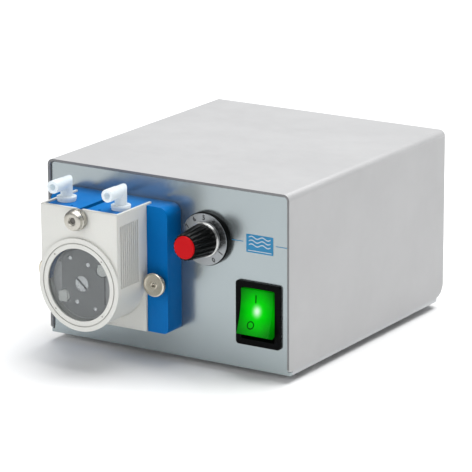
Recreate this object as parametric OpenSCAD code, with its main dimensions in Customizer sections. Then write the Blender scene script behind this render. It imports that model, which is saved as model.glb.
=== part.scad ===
// Bench peristaltic pump: sheet-metal case, blue and white two-roller pump head,
// speed knob, lit mains rocker switch, gear motor and mains inlet.
// Local design frame: X to the right, Y back from the case's front edge,
// Z up from the underside of the base tray. place() moves it to the part frame,
// whose origin is under the middle of the whole pump, on the surface it stands on.

/* [Case] */
// Width of the case
case_w = 140; // [138:1:144]
// Depth of the case
case_d = 154; // [152:1:160]
// Height of the case without its feet
case_h = 90; // [88:1:94]
// Thickness of the sheet of the cover
sheet_t = 1.2; // [1:0.1:1.5]
// Height of the rubber feet
foot_h = 4; // [3:0.5:6]
// Outer bend radius of the cover
bend_r = 3.2; // [2.6:0.2:4]

/* [Pump head] */
// Sideways position of the rotor axis
head_x = -26.2; // [-28:0.2:-25]
// Height of the rotor axis above the tray's underside
head_z = 40.5; // [40:0.5:42]
// Height of the top rim of the white shell
shell_top = 78.3; // [77.5:0.1:80]
// Half width of the white shell
shell_hw = 22.3; // [22:0.1:23]
// How far the shell's front face stands in front of the case
shell_y = 36; // [36:0.5:38]
// Radius of the track that the tube lies against
track_r = 18.8; // [18.8:0.1:19]
// Outer radius of the rubber tube at rest
tube_or = 2.8; // [2.6:0.1:2.8]
// Wall of the tube
tube_wall = 1.25; // [1:0.05:1.3]

/* [Rotor] */
// Radius of the circle that the pressing rollers sit on
roller_pcr = 13.8; // [13.6:0.1:13.8]
// Radius of a pressing roller
roller_r = 2.5; // [2.3:0.1:2.5]
// Radius of the circle that the guide rollers sit on
guide_pcr = 13.4; // [13.2:0.1:13.4]
// Radius of a guide roller
guide_r = 2.8; // [2.6:0.1:2.8]

/* [Gears] */
// Module of the gear pair
gear_m = 0.6; // [0.6:0.1:0.6]
// Teeth of the large gear on the rotor shaft
gear_n = 48; // [48:1:48]
// Teeth of the motor pinion
pinion_n = 12; // [12:1:12]

/* [Controls] */
// Sideways position of the speed knob
knob_x = 23.6; // [22:0.2:26]
// Height of the speed knob
knob_z = 62.4; // [60:0.2:66]
// Sideways position of the rocker switch
switch_x = 52.5; // [50:0.5:53]
// Height of the middle of the rocker switch
switch_z = 28.3; // [26:0.1:32]
// Half of the rocker's travel
rocker_a = 12; // [10:1:12]

/* [Hidden] */
$fn = 64;
hw = case_w/2;
panel_y = 1.2;             // front face of the front panel
panel_b = 3.2;             // its back face
back_y = case_d - 4.2;     // inner face of the rear panel
back_o = case_d - 2.2;     // outer face of the rear panel
nut_y = -42;               // front face of the clamp nut
mid_y = (case_d + nut_y)/2;
rocker_py = 4.8;           // rocker pivot behind the case's front edge
tray_t = 2;
eps = 0.01;
block_top = 77.5;
flange_top = 77.4;
flange_hw = 34.2;
elbow_dx = 15.9;           // tube connectors, each side of the rotor axis
elbow_y = -23.3;
bolt_z = 73.5;             // swing bolt of the head clamp
bolt_py = -9.8;
screw_dx = 29.3;           // thumbscrews, each side of the rotor axis
screw_z = 39.7;
pinion_z = head_z + gear_m*(gear_n + pinion_n)/2;
inlet_x = 38;
inlet_z = 42;
foot_pts = [[-60, 32], [60, 32], [-60, 126], [60, 126]];
cover_pts = [[-63.8, 20], [63.8, 20], [-63.8, 140], [63.8, 140]];
post_pts = [[-54, 92], [-10, 92], [-54, 138], [-10, 138]];

// ---------- helpers ----------
module place() { translate([0, -mid_y, foot_h]) children(); }
module ycyl(x, z, y0, y1, r) { translate([x, y0, z]) rotate([-90, 0, 0]) cylinder(h = y1 - y0, r = r); }
module xcyl(x0, x1, y, z, r) { translate([x0, y, z]) rotate([0, 90, 0]) cylinder(h = x1 - x0, r = r); }
module zcyl(x, y, z0, z1, r) { translate([x, y, z0]) cylinder(h = z1 - z0, r = r); }
module box(a, b) { translate(a) cube([b[0] - a[0], b[1] - a[1], b[2] - a[2]]); }
module yext(y0, y1) { translate([0, y1, 0]) rotate([90, 0, 0]) linear_extrude(y1 - y0) children(); }
module rrect(x0, x1, z0, z1, r) {
  translate([x0 + r, z0]) square([x1 - x0 - 2*r, z1 - z0]);
  translate([x0, z0 + r]) square([x1 - x0, z1 - z0 - 2*r]);
  for (x = [x0 + r, x1 - r], z = [z0 + r, z1 - r]) translate([x, z]) circle(r = r);
}
// rounded only at the top corners
module toprect(x0, x1, z0, z1, r) {
  translate([x0 + r, z0]) square([x1 - x0 - 2*r, z1 - z0]);
  translate([x0, z0]) square([x1 - x0, z1 - z0 - r]);
  for (x = [x0 + r, x1 - r]) translate([x, z1 - r]) circle(r = r);
}
// a piece that sits at polar position a, radius rr round the rotor axis
module polar(rr, a) { translate([head_x + rr*cos(a), 0, head_z + rr*sin(a)]) children(); }
// straight-flanked gear outline
function gear_pts(n, m, bl) = let(rp = n*m/2, ra = rp + m, rf = rp - 1.25*m,
    hp = (PI*m/2 - bl)/2, hr = hp + 1.25*m*tan(20), ha = hp - m*tan(20), d = 180/PI)
  [for (i = [0:n-1]) let(c = 360*i/n) each [
    [rf*cos(c - hr/rf*d), rf*sin(c - hr/rf*d)], [rp*cos(c - hp/rp*d), rp*sin(c - hp/rp*d)],
    [ra*cos(c - ha/ra*d), ra*sin(c - ha/ra*d)], [ra*cos(c + ha/ra*d), ra*sin(c + ha/ra*d)],
    [rp*cos(c + hp/rp*d), rp*sin(c + hp/rp*d)], [rf*cos(c + hr/rf*d), rf*sin(c + hr/rf*d)]]];

// ---------- case ----------
module base_tray() place() color([0.82, 0.83, 0.84]) difference() {
  union() {
    box([-hw, panel_b, 0], [hw, case_d - 8, tray_t]);
    box([-hw + 6, case_d - 8.01, 0], [hw - 6, case_d - 2, tray_t]);
    for (s = [-1, 1]) zcyl(s*(hw - 6), case_d - 8, 0, tray_t, 6);
    box([-54, panel_b, 1], [54, panel_b + 1.2, 12]);
    box([-54, back_y - 1.2, 1], [54, back_y, 14]);
  }
  for (p = foot_pts) zcyl(p[0], p[1], -1, 3, 1.5);
  for (p = cover_pts) zcyl(p[0], p[1], -1, 3, 1.6);
}
module cover() place() color([0.86, 0.86, 0.86]) difference() {
  union() {
    difference() {
      yext(0, case_d) toprect(-hw, hw, tray_t, case_h, bend_r);
      yext(-1, case_d + 1) toprect(-hw + sheet_t, hw - sheet_t, -1, case_h - sheet_t, bend_r - sheet_t);
    }
    for (s = [-1, 1]) translate([s*(hw - 6.4) - 5.6, 6, tray_t]) cube([11.2, case_d - 14, sheet_t]);
  }
  for (p = cover_pts) zcyl(p[0], p[1], 0, 5, 1.4);
  // rounded lower corners of the sides
  difference() {
    box([-hw - 1, case_d - 7, tray_t - 1], [hw + 1, case_d + 1, tray_t + 7]);
    xcyl(-hw - 2, hw + 2, case_d - 7, tray_t + 7, 7);
  }
  difference() {
    box([-hw - 1, -1, tray_t - 1], [hw + 1, 1.8, tray_t + 1.8]);
    xcyl(-hw - 2, hw + 2, 1.8, tray_t + 1.8, 1.8);
  }
}
module front_panel() place() color([0.66, 0.68, 0.70]) difference() {
  union() {
    yext(panel_y, panel_b) toprect(-hw + sheet_t + 0.4, hw - sheet_t - 0.4, 0, case_h - sheet_t - 0.4, 2);
    box([-hw, panel_y, 0], [hw, panel_b, tray_t - 0.1]);
  }
  ycyl(head_x, head_z, 0, 4, 8.1);
  for (s = [-1, 1]) ycyl(head_x + s*screw_dx, screw_z, 0, 4, 2.3);
  ycyl(knob_x, knob_z, 0, 4, 3.6);
  yext(0, 4) rrect(switch_x - 11.1, switch_x + 11.1, switch_z - 15.1, switch_z + 15.1, 0.8);
}
module rear_panel() place() color([0.66, 0.68, 0.70]) difference() {
  yext(back_y, back_o) toprect(-hw + sheet_t + 0.4, hw - sheet_t - 0.4, tray_t + 0.1, case_h - sheet_t - 0.4, 2);
  yext(back_y - 1, back_o + 1) rrect(inlet_x - 13.6, inlet_x + 13.6, inlet_z - 20.1, inlet_z + 20.1, 1);
  for (i = [0:9]) yext(back_y - 1, back_o + 1) rrect(-57.2 + 6*i, -54.8 + 6*i, 28, 66, 1.19);
}
module feet() place() color([0.80, 0.80, 0.78]) for (p = foot_pts) difference() {
  translate([p[0], p[1], -foot_h]) cylinder(h = foot_h, r1 = 4.5, r2 = 5.2);
  zcyl(p[0], p[1], -foot_h - 1, -1.8, 3.1);
  zcyl(p[0], p[1], -3, 1, 1.6);
}
module foot_screws() place() color([0.7, 0.7, 0.7]) for (p = foot_pts) difference() {
  union() {
    zcyl(p[0], p[1], -3.4, -1.8, 2.7);
    zcyl(p[0], p[1], -1.9, tray_t, 1.5);
  }
  box([p[0] - 1.8, p[1] - 0.4, -3.5], [p[0] + 1.8, p[1] + 0.4, -2.7]);
  box([p[0] - 0.4, p[1] - 1.8, -3.5], [p[0] + 0.4, p[1] + 1.8, -2.7]);
}
module cover_screws() place() color([0.7, 0.7, 0.7]) for (p = cover_pts) difference() {
  union() {
    zcyl(p[0], p[1], -1.7, 0, 2.6);
    zcyl(p[0], p[1], -0.1, 6, 1.4);
  }
  box([p[0] - 1.7, p[1] - 0.4, -1.8], [p[0] + 1.7, p[1] + 0.4, -1]);
  box([p[0] - 0.4, p[1] - 1.7, -1.8], [p[0] + 0.4, p[1] + 1.7, -1]);
}

// ---------- pump head, fixed parts ----------
module head_flange() place() color([0.0, 0.42, 0.74]) difference() {
  yext(-11, panel_y) union() {
    rrect(head_x - flange_hw, head_x + flange_hw, 14, 40, 2.5);
    toprect(head_x - flange_hw, head_x + flange_hw, 30, flange_top, 4.5);
  }
  box([head_x - shell_hw - 0.06, -12, 10], [head_x + shell_hw + 0.06, -6.6, 90]);
  ycyl(head_x, head_z, -12, 4, 8.1);
  for (s = [-1, 1]) ycyl(head_x + s*screw_dx, screw_z, -12, 4, 2.3);
}
module inner_block(s) difference() {
  box([s > 0 ? head_x + 1.7 : head_x - shell_hw + 1.35, -34.4, head_z],
      [s > 0 ? head_x + shell_hw - 1.35 : head_x - 1.7, -6.65, block_top]);
  ycyl(head_x, head_z, -40, 0, track_r);
  zcyl(head_x + s*elbow_dx, elbow_y, head_z + 5, 90, tube_or + 0.2);
  box([s > 0 ? head_x + 11 : head_x - track_r - 0.15, elbow_y - 4.2, head_z - 1],
      [s > 0 ? head_x + track_r + 0.15 : head_x - 11, elbow_y + 4.2, head_z + 10.6]);
  xcyl(head_x - 4.6, head_x + 4.6, bolt_py, bolt_z, 1.2);
  zcyl(head_x + s*8.1, -30, block_top - 3, block_top + 1, 0.8);
}
module inner_block_left() place() color([0.0, 0.52, 0.84]) inner_block(-1);
module inner_block_right() place() color([0.0, 0.52, 0.84]) inner_block(1);
module pump_housing() place() color([0.87, 0.87, 0.84]) difference() {
  union() {
    ycyl(head_x, head_z, -shell_y, -11.5, shell_hw);
    box([head_x - shell_hw, -shell_y, head_z], [head_x + shell_hw, -11.5, shell_top]);
    box([head_x - shell_hw, -12, 14], [head_x + shell_hw, -6.6, shell_top]);
  }
  box([head_x - shell_hw + 1.3, -34.5, head_z], [head_x + shell_hw - 1.3, 0, 90]);
  ycyl(head_x, head_z, -34.5, 0, track_r);
  ycyl(head_x, head_z, -40, -34, 20.4);
  // slot for the swing bolt
  box([head_x - 1.7, -40, bolt_z], [head_x + 1.7, -34, 90]);
  ycyl(head_x, bolt_z, -40, -34, 1.7);
  // finger grip ribs
  for (s = [-1, 1], i = [0:8])
    translate([head_x + s*shell_hw - 0.4, -33.4 + 1.75*i, 41]) cube([0.8, 0.8, 31]);
}
module window_ring() place() color([0.88, 0.88, 0.86]) difference() {
  union() {
    ycyl(head_x, head_z, -37.2, -36, 23.2);
    ycyl(head_x, head_z, -36.01, -34.7, 20.35);
  }
  ycyl(head_x, head_z, -40, -30, 18.15);
  ycyl(head_x, head_z, -36.2, -30, 19);
  difference() { ycyl(head_x, head_z, -38, -36.6, 21); ycyl(head_x, head_z, -39, -30, 20.4); }
  for (a = [45:90:315]) translate([head_x + 19.3*cos(a), 0, head_z + 19.3*sin(a)]) ycyl(0, 0, -38, -36.7, 0.5);
}
module window() place() color([0.8, 0.85, 0.87, 0.35]) ycyl(head_x, head_z, -36.2, -34.9, 18.95);

// tube: a round tube that is squeezed flat where the rollers pass
function tube_a(h) = h >= 16.6 ? tube_or : min(tube_or, (track_r - 0.1 - sqrt(276 - h*h))/2);
function tube_st() = concat(
  [for (i = [0:11]) let(h = 35.5 - 2.3*i) [-1, h, 90]],
  [for (i = [0:4]) let(h = 9.2 - 2.2*i) [-1, h, 90]],
  [for (i = [0:16]) [0, 0, 180 + 180*i/16]],
  [for (i = [0:4]) let(h = 0.4 + 2.2*i) [1, h, 90]],
  [for (i = [0:11]) let(h = 10.2 + 2.3*i) [1, h, 90]]);
// ring of n points: across the section (u, towards the track) and along the axle (v)
function tube_ring(st, w, n) = let(h = st[0] == 0 ? 0 : st[1], a0 = tube_a(h), b0 = tube_or + (tube_or - a0)*0.55,
    a = a0 - w, b = b0 - w, c = track_r - 0.1 - a0)
  [for (k = [0:n-1]) let(t = 360*k/n, u = a*cos(t), v = b*sin(t))
    st[0] == 0 ? [head_x + (c + u)*cos(st[2]), elbow_y + v, head_z + (c + u)*sin(st[2])]
               : [head_x + st[0]*(c + (u)), elbow_y + v, head_z + h]];
module sweep(rings) {
  n = len(rings[0]); m = len(rings);
  polyhedron(points = [for (r = rings) each r],
    faces = concat([[for (k = [0:n-1]) k]], [[for (k = [n-1:-1:0]) (m-1)*n + k]],
      [for (j = [0:m-2], k = [0:n-1]) each
        [[j*n + k, (j+1)*n + k, (j+1)*n + (k+1)%n], [j*n + k, (j+1)*n + (k+1)%n, j*n + (k+1)%n]]]));
}
module pump_tube() place() color([0.85, 0.80, 0.66]) difference() {
  sweep([for (s = tube_st()) tube_ring(s, 0, 16)]);
  sweep([for (s = tube_st()) tube_ring([s[0], s[1] > 30 ? s[1] + 2 : s[1], s[2]], s[0] == 0 || tube_a(s[1]) < 1.9 ? 0.7 : tube_wall, 16)]);
}
module elbow(s) {
  x = head_x + s*elbow_dx;
  difference() {
    union() {
      zcyl(x, elbow_y, block_top, shell_top + 0.2, 4.6);
      zcyl(x, elbow_y, shell_top + 0.1, shell_top + 1.5, 4.85);
      zcyl(x, elbow_y, block_top + 1.8, 86.6, 3);
      zcyl(x, elbow_y, 68, block_top + 0.1, 1.5);
      // mitred corner
      intersection() {
        zcyl(x, elbow_y, 80, 92, 3);
        ycyl(x, 86.6, -30, -15, 3);
      }
      ycyl(x, 86.6, -27.1, elbow_y, 3);
      ycyl(x, 86.6, -35, -27, 3.2);
    }
    zcyl(x, elbow_y, 60, 86.6, 0.9);
    ycyl(x, 86.6, -36, elbow_y, 1.7);
  }
}
module elbow_left() place() color([0.92, 0.94, 0.95]) elbow(-1);
module elbow_right() place() color([0.92, 0.94, 0.95]) elbow(1);

// ---------- rotor ----------
module rotor_body() place() color([0.60, 0.60, 0.60]) difference() {
  union() {
    ycyl(head_x, head_z, -32.2, -11, 14.6);
    ycyl(head_x, head_z, -32.2, -31.5, 17);
    ycyl(head_x, head_z, -11.1, -9.4, 7);
  }
  ycyl(head_x, head_z, -29.8, 0, 3.03);
  ycyl(head_x, head_z, -33, -29, 1.5);
  for (a = [121, 301]) polar(roller_pcr, a) { ycyl(0, 0, -31.4, -14.8, roller_r + 0.4); ycyl(0, 0, -35, -12, 1); }
  for (a = [35, 215]) polar(guide_pcr, a) { ycyl(0, 0, -35, -14.8, guide_r + 0.4); ycyl(0, 0, -35, -12, 1); }
  for (a = [71, 251]) polar(10.3, a) ycyl(0, 0, -35, -26, 0.8);
}
module rotor_cap() place() color([0.45, 0.46, 0.47]) difference() {
  ycyl(head_x, head_z, -33.6, -32.2, 17);
  ycyl(head_x, head_z, -35, -31, 1.5);
  for (a = [121, 301]) polar(roller_pcr, a) ycyl(0, 0, -35, -31, 1);
  for (a = [71, 251]) polar(10.3, a) ycyl(0, 0, -35, -31, 0.8);
  for (a = [35, 215]) polar(guide_pcr, a) ycyl(0, 0, -35, -31, guide_r + 0.5);
  for (s = [0, 180]) translate([head_x, 0, head_z]) rotate([0, s, 0]) box([-20, -35, -7.6], [-12.4, -31, 9]);
}
module rotor_screw() place() color([0.85, 0.85, 0.85]) difference() {
  union() {
    ycyl(head_x, head_z, -34.5, -33.6, 3.9);
    ycyl(head_x, head_z, -33.7, -26, 1.5);
  }
  translate([head_x, 0, head_z]) rotate([0, 40, 0]) box([-5, -36, -0.5], [5, -33.9, 0.5]);
}
module cap_screws() place() color([0.85, 0.85, 0.85]) for (a = [71, 251]) polar(10.3, a) {
  ycyl(0, 0, -33.9, -33.6, 1.1);
  ycyl(0, 0, -33.7, -26.5, 0.8);
}
module roller_pins() place() color([0.85, 0.85, 0.85]) {
  for (a = [121, 301]) polar(roller_pcr, a) ycyl(0, 0, -33.8, -12, 1);
  for (a = [35, 215]) polar(guide_pcr, a) ycyl(0, 0, -33.2, -12, 1);
}
module roller(a) polar(roller_pcr, a) difference() { ycyl(0, 0, -31.2, -15, roller_r); ycyl(0, 0, -40, 0, 1.05); }
module guide_roller(a) polar(guide_pcr, a) difference() {
  union() {
    ycyl(0, 0, -33.4, -30.2, guide_r);
    ycyl(0, 0, -30.3, -17.9, guide_r - 0.5);
    ycyl(0, 0, -18, -15, guide_r);
  }
  ycyl(0, 0, -40, 0, 1.05);
}
module roller_1() place() color([0.9, 0.9, 0.88]) roller(121);
module roller_2() place() color([0.9, 0.9, 0.88]) roller(301);
module guide_roller_1() place() color([0.9, 0.9, 0.88]) guide_roller(35);
module guide_roller_2() place() color([0.9, 0.9, 0.88]) guide_roller(215);

// ---------- head clamp and thumbscrews ----------
module clamp_bolt() place() color([0.75, 0.73, 0.68]) difference() {
  union() {
    xcyl(head_x - 1.4, head_x + 1.4, bolt_py, bolt_z, 2.7);
    ycyl(head_x, bolt_z, -41, bolt_py - 1.5, 1.5);
  }
  xcyl(head_x - 3, head_x + 3, bolt_py, bolt_z, 1.26);
}
module clamp_nut() place() color([0.78, 0.76, 0.71]) difference() {
  union() {
    ycyl(head_x, bolt_z, -42, -38.3, 4.9);
    ycyl(head_x, bolt_z, -39.6, -36.5, 5.4);
  }
  ycyl(head_x, bolt_z, -45, -30, 1.56);
  ycyl(head_x, bolt_z, -45, -41.2, 1.9);
}
module clamp_pivot_pin() place() color([0.7, 0.7, 0.7]) xcyl(head_x - 4.6, head_x + 4.6, bolt_py, bolt_z, 1.2);
module thumb_screw(s, out) {
  x = head_x + s*screw_dx;
  difference() {
    union() {
      ycyl(x, screw_z, -16.4 - out, -13.6 - out, 6);
      ycyl(x, screw_z, -13.7 - out, -11.3 - out, 3.9);
      ycyl(x, screw_z, -11.4 - out, 12 - out, 2);
    }
    ycyl(x, screw_z, -17 - out, -15.2 - out, 1);
  }
}
module thumb_screw_left() place() color([0.78, 0.76, 0.71]) thumb_screw(-1, 5);
module thumb_screw_right() place() color([0.78, 0.76, 0.71]) thumb_screw(1, 0);

// ---------- drive ----------
module drive_shaft() place() color([0.75, 0.75, 0.76]) difference() {
  ycyl(head_x, head_z, -29.8, 26.3, 3);
  ycyl(head_x, head_z, -31, -25.5, 1.5);
}
module shaft_bushings() place() color([0.72, 0.56, 0.30]) for (y = [[-0.8, 6.2], [24, 26.5]]) difference() {
  ycyl(head_x, head_z, y[0], y[1], 5);
  ycyl(head_x, head_z, -5, 40, 3.05);
}
module gearbox_housing() place() color([0.62, 0.63, 0.65]) difference() {
  union() {
    yext(panel_b, 24) rrect(head_x - 20, head_x + 20, 22.5, 69, 4);
    yext(panel_b, 6.2) rrect(head_x - 34, head_x + 34, 33, 46, 3);
    ycyl(head_x, head_z, -0.8, 4, 8);
  }
  yext(6.2, 30) rrect(head_x - 17.5, head_x + 17.5, 25, 66.5, 6.5);
  ycyl(head_x, head_z, -5, 10, 5);
  for (s = [-1, 1]) ycyl(head_x + s*screw_dx, screw_z, 0, 10, 2.06);
  for (sx = [-1, 1], z = [25.4, 66.1]) ycyl(head_x + sx*17.1, z, 10, 30, 1.1);
}
module gearbox_cover() place() color([0.62, 0.63, 0.65]) difference() {
  yext(24, 26.5) rrect(head_x - 20, head_x + 20, 22.5, 69, 4);
  ycyl(head_x, head_z, 20, 30, 5);
  ycyl(head_x, pinion_z, 20, 30, 5.04);
  for (sx = [-1, 1], z = [25.4, 66.1]) ycyl(head_x + sx*17.1, z, 20, 30, 1.2);
}
module gearbox_screws() place() color([0.7, 0.7, 0.7]) for (sx = [-1, 1]) {
  ycyl(head_x + sx*17.1, 25.4, 26.5, 27.9, 2);
  ycyl(head_x + sx*17.1, 25.4, 11, 26.6, 1.1);
}
module drive_gear() place() color([0.85, 0.82, 0.70]) difference() {
  union() {
    translate([head_x, 17, head_z]) rotate([90, 0, 0]) linear_extrude(5) rotate(90 + 180/gear_n) polygon(gear_pts(gear_n, gear_m, 0.24));
    ycyl(head_x, head_z, 8, 21, 6);
  }
  ycyl(head_x, head_z, 0, 30, 3.03);
}
module motor_pinion() place() color([0.72, 0.56, 0.30]) difference() {
  translate([head_x, 18, pinion_z]) rotate([90, 0, 0]) linear_extrude(7) rotate(-90) polygon(gear_pts(pinion_n, gear_m, 0.24));
  ycyl(head_x, pinion_z, 0, 30, 1.5);
}
module motor_shaft() place() color([0.75, 0.75, 0.76]) ycyl(head_x, pinion_z, 9, 38, 1.5);
module motor() place() color([0.72, 0.72, 0.73]) difference() {
  union() {
    ycyl(head_x, pinion_z, 26.5, 76, 17.5);
    ycyl(head_x, pinion_z, 24.4, 26.6, 5);
    ycyl(head_x, pinion_z, 75.9, 79, 5.5);
    for (s = [-1, 1]) box([head_x + s*9 - 1.5, 75, pinion_z - 0.4], [head_x + s*9 + 1.5, 83, pinion_z + 0.4]);
  }
  ycyl(head_x, pinion_z, 20, 39, 1.55);
  ycyl(head_x + 17.1, 66.1, 20, 30, 1.2);
  ycyl(head_x - 17.1, 66.1, 20, 30, 1.2);
}

// ---------- speed control ----------
module dial_base() place() color([0.05, 0.05, 0.05]) difference() {
  ycyl(knob_x, knob_z, -1.7, panel_y, 13.3);
  ycyl(knob_x, knob_z, -3, 2, 9);
}
module dial_plate() place() color([0.66, 0.68, 0.70]) difference() {
  union() {
    ycyl(knob_x, knob_z, -2.7, -2, 12.9);
  }
  ycyl(knob_x, knob_z, -4, 1, 6.6);
}
module knob_collar() place() color([0.85, 0.85, 0.85]) difference() {
  union() {
    ycyl(knob_x, knob_z, -3.4, -2.7, 8.7);
    ycyl(knob_x, knob_z, -4.1, -3.3, 8.3);
    ycyl(knob_x, knob_z, -2.8, -2.1, 6.6);
  }
  ycyl(knob_x, knob_z, -5, 1, 6.1);
}
module knob_body() place() color([0.03, 0.03, 0.03]) difference() {
  translate([knob_x, -4.1, knob_z]) rotate([90, 0, 0]) cylinder(h = 15.5, r1 = 8.2, r2 = 6.5);
  ycyl(knob_x, knob_z, -16, 0, 3);
  ycyl(knob_x, knob_z, -6, 0, 5);
  ycyl(knob_x, knob_z, -25, -18.4, 5.7);
  for (i = [0:17]) translate([knob_x, 0, knob_z]) rotate([0, 20*i, 0])
    translate([8.6, 0, 0]) rotate([90, 0, -5.4]) translate([0, 0, 2]) cylinder(h = 20, r = 0.75, $fn = 16);
}
module knob_cap() place() color([0.80, 0.05, 0.06]) ycyl(knob_x, knob_z, -20.5, -18.4, 5.65);
module potentiometer() place() color([0.35, 0.35, 0.36]) difference() {
  union() {
    ycyl(knob_x, knob_z, panel_b, 13, 8.5);
    ycyl(knob_x, knob_z, -1.6, 4, 3.5);
    for (s = [-1, 0, 1]) box([knob_x + 5*s - 0.8, 8, knob_z - 13], [knob_x + 5*s + 0.8, 8.6, knob_z - 6]);
  }
  ycyl(knob_x, knob_z, -3, 10.2, 3.05);
}
module pot_nut() place() color([0.75, 0.75, 0.75]) difference() {
  translate([knob_x, panel_y, knob_z]) rotate([90, 0, 0]) cylinder(h = 1.7, r = 5.6, $fn = 6);
  ycyl(knob_x, knob_z, -3, 4, 3.5);
}
module pot_shaft() place() color([0.75, 0.75, 0.76]) ycyl(knob_x, knob_z, -16, 10, 3);

// ---------- mains switch ----------
module switch_housing() place() color([0.04, 0.04, 0.04]) difference() {
  union() {
    yext(-0.3, panel_y) rrect(switch_x - 12.5, switch_x + 12.5, switch_z - 16, switch_z + 16, 1.6);
    yext(1.1, 24) rrect(switch_x - 10.9, switch_x + 10.9, switch_z - 14.9, switch_z + 14.9, 0.8);
  }
  yext(-1, 20) rrect(switch_x - 9.4, switch_x + 9.4, switch_z - 12.9, switch_z + 12.9, 0.8);
  xcyl(switch_x - 10.5, switch_x + 10.5, rocker_py, switch_z, 1.2);
}
module switch_pivot_pin() place() color([0.7, 0.7, 0.7]) xcyl(switch_x - 10.5, switch_x + 10.5, rocker_py, switch_z, 1.2);
module switch_rocker() place() color([0.10, 0.75, 0.15]) translate([switch_x, rocker_py, switch_z]) rotate([-rocker_a, 0, 0]) difference() {
  translate([-9, 0, 0]) rotate([90, 0, 90]) linear_extrude(18)
    polygon(concat([for (z = [11:-1:-11]) [-6.9 - 1.4*z*z/121, z]],
      [[-4, -11.7], [0, -9], [4, -5], [4, 5], [0, 9], [-4, 11.7]]));
  translate([-10, 0, 0]) rotate([0, 90, 0]) cylinder(h = 20, r = 1.26);
}
module switch_terminals() place() color([0.75, 0.68, 0.45]) for (sx = [-1, 1], z = [-9, 0, 9])
  box([switch_x + sx*5.5 - 0.4, 24, switch_z + z - 2.4], [switch_x + sx*5.5 + 0.4, 32, switch_z + z + 2.4]);

// ---------- mains inlet ----------
module power_inlet() place() color([0.05, 0.05, 0.05]) difference() {
  union() {
    yext(back_o, case_d - 0.1) rrect(inlet_x - 15.5, inlet_x + 15.5, inlet_z - 22, inlet_z + 22, 2);
    yext(136, back_o + 0.1) rrect(inlet_x - 13.5, inlet_x + 13.5, inlet_z - 20, inlet_z + 20, 1);
  }
  difference() {
    box([inlet_x - 12.1, 138, inlet_z - 0.2], [inlet_x + 12.1, 160, inlet_z + 16.2]);
    for (s = [-1, 1]) translate([inlet_x + s*12.1, 130, inlet_z + 16.2]) rotate([0, 45, 0]) translate([-3.6, 0, -3.6]) cube([7.2, 40, 7.2]);
  }
  box([inlet_x - 11.3, 139, inlet_z - 16.7], [inlet_x + 11.3, 160, inlet_z - 7.3]);
  blades();
}
module inlet_blades() place() color([0.80, 0.78, 0.70]) blades();
module blades() for (p = [[-7, 6], [7, 6], [0, 10]])
  box([inlet_x + p[0] - 1, 130, inlet_z + p[1] - 2], [inlet_x + p[0] + 1, 149, inlet_z + p[1] + 2]);
module fuse_drawer() place() color([0.08, 0.08, 0.08]) difference() {
  box([inlet_x - 11, 140, inlet_z - 16.4], [inlet_x + 11, case_d - 0.1, inlet_z - 7.6]);
  box([inlet_x - 10.4, 141.5, inlet_z - 15], [inlet_x + 10.4, 148.5, inlet_z - 5]);
  box([inlet_x - 3, case_d - 1.2, inlet_z - 9.2], [inlet_x + 3, case_d, inlet_z - 5]);
}
module fuse() place() color([0.8, 0.82, 0.84]) xcyl(inlet_x - 10, inlet_x + 10, 145, inlet_z - 12.4, 2.6);

// ---------- electronics ----------
module control_board() place() color([0.05, 0.35, 0.15]) difference() {
  union() {
    box([-61, 89, 10], [-7, 141, 11.6]);
    box([-50, 98, 11.5], [-36, 112, 14.5]);
    box([-30, 96, 11.5], [-14, 108, 22]);
    for (i = [0:3]) zcyl(-52 + 9*i, 124, 11.5, 21, 3.4);
    box([-20, 118, 11.5], [-12, 134, 19]);
  }
  for (p = post_pts) zcyl(p[0], p[1], 5, 15, 1.6);
}
module board_posts() place() color([0.72, 0.56, 0.30]) for (p = post_pts) {
  translate([p[0], p[1], tray_t]) cylinder(h = 8, r = 2.9, $fn = 6);
  zcyl(p[0], p[1], 9.9, 13, 1.5);
}
module power_supply() place() color([0.70, 0.71, 0.72]) difference() {
  box([6, 44, tray_t], [58, 126, 32]);
  box([7.2, 42, 3.2], [56.8, 124.8, 30.8]);
  for (i = [0:9]) box([14 + 4*i, 60, 28], [16 + 4*i, 112, 34]);
}

base_tray();
cover();
front_panel();
rear_panel();
feet();
foot_screws();
cover_screws();
head_flange();
inner_block_left();
inner_block_right();
pump_housing();
window_ring();
window();
rotor_body();
rotor_cap();
rotor_screw();
cap_screws();
roller_pins();
roller_1();
roller_2();
guide_roller_1();
guide_roller_2();
pump_tube();
elbow_left();
elbow_right();
clamp_bolt();
clamp_nut();
clamp_pivot_pin();
thumb_screw_left();
thumb_screw_right();
drive_shaft();
shaft_bushings();
gearbox_housing();
gearbox_cover();
gearbox_screws();
drive_gear();
motor_pinion();
motor_shaft();
motor();
dial_base();
dial_plate();
knob_collar();
knob_body();
knob_cap();
potentiometer();
pot_nut();
pot_shaft();
switch_housing();
switch_pivot_pin();
switch_rocker();
switch_terminals();
power_inlet();
inlet_blades();
fuse_drawer();
fuse();
control_board();
board_posts();
power_supply();
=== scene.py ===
import math

import bpy
from mathutils import Matrix, Vector


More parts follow.
